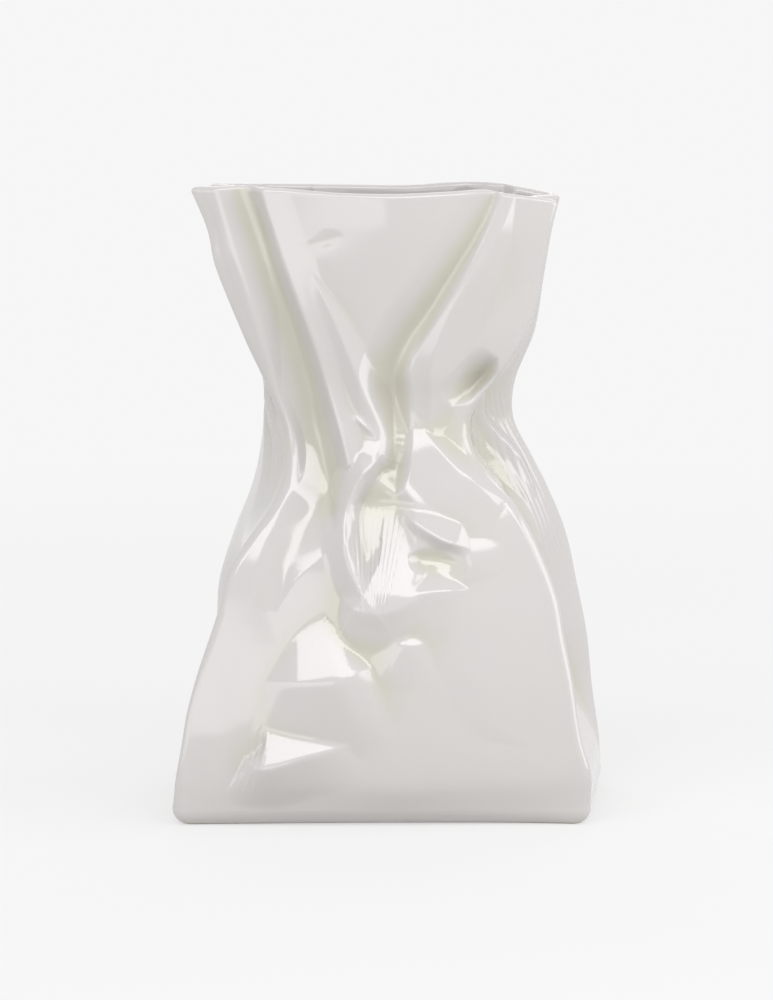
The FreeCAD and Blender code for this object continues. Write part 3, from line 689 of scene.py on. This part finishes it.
# %% [markdown]
# The foot is a slab whose edge curves under to the table. Below, it stands on a ring of bare
# clay around a shallow recess, because glaze that touched the kiln shelf would stick to it.
# A circle is extruded upwards once for each row, like coils laid on each other, and each of
# its points is then set in its place, known by its row and by its angle round the vase.

# %% Places of the foot
foot_ring = 9 * mm
recess = 1.5 * mm
ring_soft = 0.8 * mm
soft_rows = 6
flat_rows = 8


def inset(distance, z):
    place = foot_roll[0].copy()
    place[:, 0] *= 1 - distance / (half_width - foot_tuck)
    place[:, 1] *= 1 - distance / (half_depth - foot_tuck)
    place[:, 2] = z
    return place


under = [inset(foot_ring, recess)]
for turned in np.linspace(0, math.pi / 2, soft_rows):
    drop = ring_soft * (1 - math.sin(turned))
    under.append(inset(foot_ring - ring_soft * (1 - math.cos(turned)), drop))
for share in np.linspace(1, 0, flat_rows + 1)[1:-1]:
    under.append(inset((foot_ring - ring_soft) * share, 0))
foot_places = np.concatenate([np.stack(under), ring[:roll_rows + 1]])
foot_directions = directions(foot_places)
foot_directions[len(under):] = skin_directions[:roll_rows + 1]
foot_hollows = np.concatenate([np.zeros((len(under), ring.shape[1])), pool_and_shade[:roll_rows + 1]])
print("foot:", foot_places.shape[0], "rows of", foot_places.shape[1], "columns")

# %% Lay the coils and set them in place
coil = 1 * mm
round_count = ring.shape[1]
bpy.ops.object.select_all(action="DESELECT")
bpy.ops.mesh.primitive_circle_add(vertices=round_count, radius=half_width, calc_uvs=False)
foot = bpy.context.active_object
foot.name = foot.data.name = "base_slab_fired"
bpy.ops.object.mode_set(mode="EDIT")
bpy.ops.mesh.select_mode(type="EDGE")
bpy.ops.mesh.select_all(action="SELECT")
for _ in range(len(foot_places) - 1):
    bpy.ops.mesh.extrude_edges_move(TRANSFORM_OT_translate={"value": (0, 0, coil)})
bpy.ops.object.mode_set(mode="OBJECT")

coils = np.empty(3 * len(foot.data.vertices))
foot.data.vertices.foreach_get("co", coils)
x, y, z = coils.reshape(-1, 3).T
row_of = np.rint(z / coil).astype(int)
column_of = np.rint(np.arctan2(y, x) / (2 * math.pi) * round_count).astype(int) % round_count
foot.data.vertices.foreach_set("co", foot_places[row_of, column_of].ravel())
side_faces = len(foot.data.polygons)
for row in (0, len(foot_places) - 1):
    chosen = np.flatnonzero(row_of == row)
    chain = chosen[np.argsort(column_of[chosen])]
    close_over(foot, chain_edges(foot, chain, closed=True), bpy.ops.mesh.edge_face_add)
face_outwards()
shade(foot, foot_directions[row_of, column_of], {"hollow": foot_hollows[row_of, column_of]}, side_faces)
print("foot has", len(foot.data.polygons), "faces")

# %% [markdown]
# Every piece rides on the vase's one body and takes the place of its plain construction piece.

# %% Join the pieces to the construction model
for node, piece in zip(wall_nodes + ["base_slab"], walls + [foot]):
    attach(piece, "root")
    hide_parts(node)
    print(piece.name, "stands for", node)

# %% [markdown]
# The finish is a thick white glaze: a soft, slightly warm white that turns ivory where it
# gathers in the hollows, and is painted a little darker there as shade. Under a lamp its
# surface isn't flat either. It has a slow ripple where the glaze ran, and a very fine skin
# like that of an orange. The foot wears the same glaze, so each effect is a node group,
# built once and placed in both materials.

# %% Helpers for node trees
def shader_node(tree, kind, inputs=(), **settings):
    node = tree.nodes.new("ShaderNode" + kind)
    for name, value in settings.items():
        setattr(node, name, value)
    for name, value in dict(inputs).items():
        if isinstance(value, bpy.types.NodeSocket):
            tree.links.new(value, node.inputs[name])
        else:
            node.inputs[name].default_value = value
    return node


def new_group(name, inputs, outputs):
    group = bpy.data.node_groups.new(name, "ShaderNodeTree")
    for label, kind, value in inputs:
        socket = group.interface.new_socket(name=label, in_out="INPUT", socket_type=kind)
        socket.default_value = value
    for label, kind in outputs:
        group.interface.new_socket(name=label, in_out="OUTPUT", socket_type=kind)
    return group, group.nodes.new("NodeGroupInput"), group.nodes.new("NodeGroupOutput")


COLOUR, NUMBER, VECTOR = "NodeSocketColor", "NodeSocketFloat", "NodeSocketVector"
MIX_A, MIX_B, MIX_RESULT = 6, 7, 2

# %% Node group: glaze that gathers in the hollows, with painted shade there
glaze_white = (0.550, 0.531, 0.525, 1)
# Ivory of pooled glaze, and darker than the open white: the darkening is painted shade.
pooled_ivory_and_shade = (0.520, 0.500, 0.435, 1)
cloud_scale = 30.0
cloud_share = 0.3
cloud_detail = 2.0
shade_pool_start, shade_pool_full = -0.1, 0.6

pooling_and_shade_group, given, result = new_group(
    "Glaze pooling and painted shade in hollows",
    [("Open colour", COLOUR, glaze_white), ("Pooled and shaded colour", COLOUR, pooled_ivory_and_shade),
     ("Hollow", NUMBER, 0.0), ("Place", VECTOR, (0, 0, 0)), ("Cloud scale", NUMBER, cloud_scale),
     ("Cloud amount", NUMBER, cloud_share)],
    [("Colour", COLOUR), ("Pooled and shaded", NUMBER)])
cloud = shader_node(pooling_and_shade_group, "TexNoise", {
    "Vector": given.outputs["Place"], "Scale": given.outputs["Cloud scale"],
    "Detail": cloud_detail})
offset = shader_node(pooling_and_shade_group, "Math", {0: cloud.outputs["Fac"], 1: 0.5}, operation="SUBTRACT")
clouded = shader_node(pooling_and_shade_group, "Math", {
    0: offset.outputs[0], 1: given.outputs["Cloud amount"], 2: given.outputs["Hollow"]},
    operation="MULTIPLY_ADD")
pooled_and_shaded = shader_node(pooling_and_shade_group, "MapRange", {
    "Value": clouded.outputs[0], "From Min": shade_pool_start, "From Max": shade_pool_full},
    interpolation_type="SMOOTHSTEP")
# Mixes towards the ivory, darker colour in hollows: pooled glaze plus painted shade.
pool_and_shade_tint = shader_node(pooling_and_shade_group, "Mix", {
    0: pooled_and_shaded.outputs["Result"], MIX_A: given.outputs["Open colour"],
    MIX_B: given.outputs["Pooled and shaded colour"]}, data_type="RGBA")
pooling_and_shade_group.links.new(pool_and_shade_tint.outputs[MIX_RESULT], result.inputs["Colour"])
pooling_and_shade_group.links.new(pooled_and_shaded.outputs["Result"], result.inputs["Pooled and shaded"])
print("group:", pooling_and_shade_group.name)

# %% Node group: the ripple and the orange skin of a glaze
ripple_scale = 90.0
skin_scale = 700.0
skin_share = 0.1
ripple_detail = 1.0

rippling, given, result = new_group(
    "Glaze ripple",
    [("Place", VECTOR, (0, 0, 0)), ("Ripple scale", NUMBER, ripple_scale),
     ("Skin scale", NUMBER, skin_scale), ("Skin share", NUMBER, skin_share)],
    [("Height", NUMBER), ("Shine change", NUMBER)])
ripple = shader_node(rippling, "TexNoise", {
    "Vector": given.outputs["Place"], "Scale": given.outputs["Ripple scale"],
    "Detail": ripple_detail})
orange = shader_node(rippling, "TexNoise", {
    "Vector": given.outputs["Place"], "Scale": given.outputs["Skin scale"],
    "Detail": ripple_detail})
ripple_height = shader_node(rippling, "Math", {
    0: orange.outputs["Fac"], 1: given.outputs["Skin share"], 2: ripple.outputs["Fac"]},
    operation="MULTIPLY_ADD")
rippling.links.new(ripple_height.outputs[0], result.inputs["Height"])
rippling.links.new(ripple.outputs["Fac"], result.inputs["Shine change"])
print("group:", rippling.name)

# %% Node group: fine pleats
pleating, given, result = new_group(
    "Fine pleats", [("Count", NUMBER, 0.0), ("Depth", NUMBER, 0.0)], [("Height", NUMBER)])
turned = shader_node(pleating, "Math", {
    0: given.outputs["Count"], 1: 2 * math.pi}, operation="MULTIPLY")
wave = shader_node(pleating, "Math", {0: turned.outputs[0]}, operation="COSINE")
shown = shader_node(pleating, "Math", {
    0: wave.outputs[0], 1: given.outputs["Depth"]}, operation="MULTIPLY")
pleating.links.new(shown.outputs[0], result.inputs["Height"])
print("group:", pleating.name)

# %% Node group: bare fired clay
clay_pale = (0.60, 0.55, 0.47, 1)
clay_dark = (0.45, 0.40, 0.33, 1)
grain_scale = 2600.0
grain_detail = 3.0
speck_start, speck_full = 0.35, 0.7

claying, given, result = new_group(
    "Bare clay",
    [("Place", VECTOR, (0, 0, 0)), ("Grain scale", NUMBER, grain_scale),
     ("Pale colour", COLOUR, clay_pale), ("Dark colour", COLOUR, clay_dark)],
    [("Colour", COLOUR), ("Height", NUMBER)])
grain = shader_node(claying, "TexNoise", {
    "Vector": given.outputs["Place"], "Scale": given.outputs["Grain scale"],
    "Detail": grain_detail})
speck = shader_node(claying, "MapRange", {
    "Value": grain.outputs["Fac"], "From Min": speck_start, "From Max": speck_full})
clay_mix = shader_node(claying, "Mix", {
    0: speck.outputs["Result"], MIX_A: given.outputs["Dark colour"],
    MIX_B: given.outputs["Pale colour"]}, data_type="RGBA")
claying.links.new(clay_mix.outputs[MIX_RESULT], result.inputs["Colour"])
claying.links.new(grain.outputs["Fac"], result.inputs["Height"])
print("group:", claying.name)


# %% Helpers for the materials
def placed_group(tree, group, **values):
    node = tree.nodes.new("ShaderNodeGroup")
    node.node_tree = group
    for name, value in values.items():
        socket = node.inputs[name.replace("_", " ")]
        if isinstance(value, bpy.types.NodeSocket):
            tree.links.new(value, socket)
        else:
            socket.default_value = value
    return node


def new_material(name):
    material = bpy.data.materials.new(name)
    material.use_nodes = True
    tree = material.node_tree
    return material, tree, tree.nodes["Principled BSDF"]


shine = 0.09
shine_change = 0.05
glaze_ior = 1.7
ripple_height_size = 0.05 * mm
pleat_height = 0.07 * mm


def glaze_parts(tree):
    """Colour, roughness and height of the glaze, worked out in place."""
    place = shader_node(tree, "TexCoord").outputs["Object"]
    hollow = shader_node(tree, "Attribute", attribute_name="hollow")
    colour = placed_group(tree, pooling_and_shade_group, Place=place, Hollow=hollow.outputs["Fac"])
    waves = placed_group(tree, rippling, Place=place)
    rough = shader_node(tree, "MapRange", {
        "Value": waves.outputs["Shine change"], "To Min": shine, "To Max": shine + shine_change})
    return place, colour.outputs["Colour"], rough.outputs["Result"], waves.outputs["Height"]


# %% Material: white glaze
white_glaze, tree, surface = new_material("white_glaze")
place, colour, rough, waves = glaze_parts(tree)
counted = shader_node(tree, "Attribute", attribute_name="pleat_count")
deep = shader_node(tree, "Attribute", attribute_name="pleat_depth")
pleated = placed_group(tree, pleating, Count=counted.outputs["Fac"], Depth=deep.outputs["Fac"])
pleat_bump = shader_node(tree, "Bump", {
    "Height": pleated.outputs["Height"], "Strength": 1.0, "Distance": pleat_height})
bump = shader_node(tree, "Bump", {
    "Height": waves, "Strength": 1.0, "Distance": ripple_height_size,
    "Normal": pleat_bump.outputs["Normal"]})
surface.inputs["IOR"].default_value = glaze_ior
tree.links.new(colour, surface.inputs["Base Color"])
tree.links.new(rough, surface.inputs["Roughness"])
tree.links.new(bump.outputs["Normal"], surface.inputs["Normal"])
for piece in walls:
    piece.data.materials.append(white_glaze)
print("glazed:", ", ".join(piece.name for piece in walls))

# %% [markdown]
# Before the kiln the glaze is wiped off the foot up to a line just above the table, or the
# vase would stick to the shelf. So the foot's material mixes the glaze with bare clay by
# height, and the line wanders a little, as a sponge leaves it.

# %% Material: the foot, glazed down to a line just above the table
glaze_line = 0.9 * mm
glaze_line_soft = 0.15 * mm
glaze_line_wander = 0.5 * mm
clay_rough = 0.8
clay_grain_height = 0.06 * mm

fired_foot, tree, surface = new_material("fired_foot")
place, colour, rough, waves = glaze_parts(tree)
clay = placed_group(tree, claying, Place=place)
low = shader_node(tree, "SeparateXYZ", {"Vector": place})
wander = shader_node(tree, "TexNoise", {"Vector": place, "Scale": ripple_scale})
line = shader_node(tree, "Math", {
    0: wander.outputs["Fac"], 1: glaze_line_wander, 2: low.outputs["Z"]}, operation="MULTIPLY_ADD")
glazed = shader_node(tree, "MapRange", {
    "Value": line.outputs[0], "From Min": glaze_line, "From Max": glaze_line + glaze_line_soft})
glazed = glazed.outputs["Result"]
foot_colour = shader_node(tree, "Mix", {0: glazed, MIX_A: clay.outputs["Colour"], MIX_B: colour},
                          data_type="RGBA")
foot_rough = shader_node(tree, "Mix", {0: glazed, "A": clay_rough, "B": rough})
foot_waves = shader_node(tree, "Mix", {0: glazed, "A": clay.outputs["Height"], "B": waves})
bump = shader_node(tree, "Bump", {
    "Height": foot_waves.outputs[0], "Strength": 1.0, "Distance": clay_grain_height})
surface.inputs["IOR"].default_value = glaze_ior
tree.links.new(foot_colour.outputs[MIX_RESULT], surface.inputs["Base Color"])
tree.links.new(foot_rough.outputs[0], surface.inputs["Roughness"])
tree.links.new(bump.outputs["Normal"], surface.inputs["Normal"])
foot.data.materials.append(fired_foot)
print("foot wears", fired_foot.name)

# %% [markdown]
# The stage is a plain pale studio. The floor takes the vase's shadow near the foot and glows
# like the backdrop farther out. Beyond it a world of the same pale colour is seen by the
# camera and in the glaze. The light that floor and world throw on the vase is set lower than
# they look, so that the folds keep their shade.

# %% Helper: which rays see the studio as it looks
def straight_rays(tree):
    """One for rays from the camera, for mirrored ones and for those that pass through."""
    seen = shader_node(tree, "LightPath")
    mirrored = shader_node(tree, "Math", {
        0: seen.outputs["Is Camera Ray"], 1: seen.outputs["Is Glossy Ray"]}, operation="MAXIMUM")
    through = shader_node(tree, "Math", {
        0: mirrored.outputs[0], 1: seen.outputs["Is Transmission Ray"]}, operation="MAXIMUM")
    return seen, through.outputs[0]


# %% Floor
backdrop = (0.922, 0.922, 0.922, 1)
floor_radius = 4.0
floor_points = 128
shadow_start, shadow_end = 0.3, 1.0
floor_share = 0.35
floor_white = (0.82, 0.82, 0.82, 1)
floor_bounce = (0.72, 0.72, 0.70, 1)

bpy.ops.object.select_all(action="DESELECT")
bpy.ops.mesh.primitive_circle_add(vertices=floor_points, radius=floor_radius, fill_type="NGON")
floor = bpy.context.active_object
floor.name = floor.data.name = "studio_floor"
floor_paint, tree, surface = new_material("studio_floor")
tree.nodes.remove(surface)
seen, straight = straight_rays(tree)
place = shader_node(tree, "TexCoord").outputs["Object"]
reach = shader_node(tree, "VectorMath", {0: place}, operation="LENGTH")
far = shader_node(tree, "MapRange", {
    "Value": reach.outputs["Value"], "From Min": shadow_start, "From Max": shadow_end,
    "To Min": 1 - floor_share, "To Max": 1.0},
    interpolation_type="SMOOTHSTEP")
plain = shader_node(tree, "Math", {0: straight, 1: far.outputs["Result"]}, operation="MULTIPLY")
bounce = shader_node(tree, "Mix", {
    0: seen.outputs["Is Diffuse Ray"], MIX_A: floor_white, MIX_B: floor_bounce}, data_type="RGBA")
matt = shader_node(tree, "BsdfDiffuse", {"Color": bounce.outputs[MIX_RESULT]})
glow = shader_node(tree, "Emission", {"Color": backdrop, "Strength": 1.0})
both = shader_node(tree, "MixShader", {0: plain.outputs[0], 1: matt.outputs[0], 2: glow.outputs[0]})
tree.links.new(both.outputs[0], tree.nodes["Material Output"].inputs["Surface"])
floor.data.materials.append(floor_paint)
print("floor of radius", floor_radius, "m")

# %% World
sky_level = 0.52

world = bpy.data.worlds.new("pale_studio")
bpy.context.scene.world = world
world.use_nodes = True
tree = world.node_tree
sky = tree.nodes["Background"]
sky.inputs["Color"].default_value = (1, 1, 1, 1)
sky.inputs["Strength"].default_value = sky_level
pale = shader_node(tree, "Background", {"Color": backdrop, "Strength": 1.0})
straight = straight_rays(tree)[1]
both = shader_node(tree, "MixShader", {0: straight, 1: sky.outputs[0], 2: pale.outputs[0]})
tree.links.new(both.outputs[0], tree.nodes["World Output"].inputs["Surface"])
print("world lights at", sky_level)

# %% [markdown]
# Four softboxes light the vase. A wide one above the camera draws the long streaks down the
# folds, one at the front left opens the shadows, one on the right edges the gusset, and one
# stands behind for whoever walks round. Each is an area lamp turned to the vase's middle and
# hidden from the camera. Its energy grows with its area, so a larger box isn't a brighter
# one, only a softer one.

# %% Softboxes
def softbox(name, azimuth, elevation, distance, wide, tall, brightness):
    a, e = math.radians(azimuth), math.radians(elevation)
    away = Vector((math.sin(a) * math.cos(e), -math.cos(a) * math.cos(e), math.sin(e)))
    lamp = bpy.data.lights.new(name, "AREA")
    lamp.shape = "RECTANGLE"
    lamp.size, lamp.size_y = wide, tall
    lamp.energy = brightness * math.pi * wide * tall
    box = bpy.data.objects.new(name, lamp)
    bpy.context.scene.collection.objects.link(box)
    box.location = Vector((0, 0, height / 2)) + away * distance
    box.rotation_mode = "QUATERNION"
    box.rotation_quaternion = away.to_track_quat("Z", "Y")
    box.visible_camera = False
    return box


softboxes = [
    softbox("softbox_above", azimuth=0, elevation=47, distance=2.0, wide=3.5, tall=0.8, brightness=3.2),
    softbox("softbox_front", azimuth=-38, elevation=6, distance=1.7, wide=2.4, tall=0.8, brightness=1.3),
    softbox("softbox_side", azimuth=80, elevation=15, distance=1.3, wide=1.0, tall=0.9, brightness=2.4),
    softbox("softbox_back", azimuth=180, elevation=40, distance=1.8, wide=2.4, tall=0.9, brightness=1.3),
]
for box in softboxes:
    print(box.name, "at", tuple(round(v, 2) for v in box.location))

# %% [markdown]
# The photograph is taken from just above the belly, a step to the right of straight on, with
# a long lens. Its angle and its width of view were worked out from how the lip's two ends,
# the foot's two corners and the back of the rim stand to each other in the picture.

# %% Camera
view_azimuth = 3.0
view_elevation = 7.8
view_distance = 1.5
view_per_pixel = 0.3523 * mm
aim_height = 108.3 * mm
image_width_px, image_height_px = 773, 1000
axis_px = 391
sensor = 36 * mm
farthest_seen = 100

camera_data = bpy.data.cameras.new("camera")
camera_data.sensor_width = sensor / mm
camera_data.lens = sensor * view_distance / (image_height_px * view_per_pixel) / mm
camera_data.clip_end = farthest_seen
camera = bpy.data.objects.new("camera", camera_data)
bpy.context.scene.collection.objects.link(camera)
a, e = math.radians(view_azimuth), math.radians(view_elevation)
towards = Vector((math.sin(a) * math.cos(e), -math.cos(a) * math.cos(e), math.sin(e)))
rightwards = Vector((math.cos(a), math.sin(a), 0))
aim = Vector((0, 0, aim_height)) - rightwards * (axis_px - image_width_px / 2) * view_per_pixel
camera.location = aim + towards * view_distance
camera.rotation_mode = "QUATERNION"
camera.rotation_quaternion = towards.to_track_quat("Z", "Y")
bpy.context.scene.camera = camera
bpy.context.scene.view_settings.view_transform = "Standard"
print("lens", round(camera_data.lens, 1), "mm at", view_distance, "m")
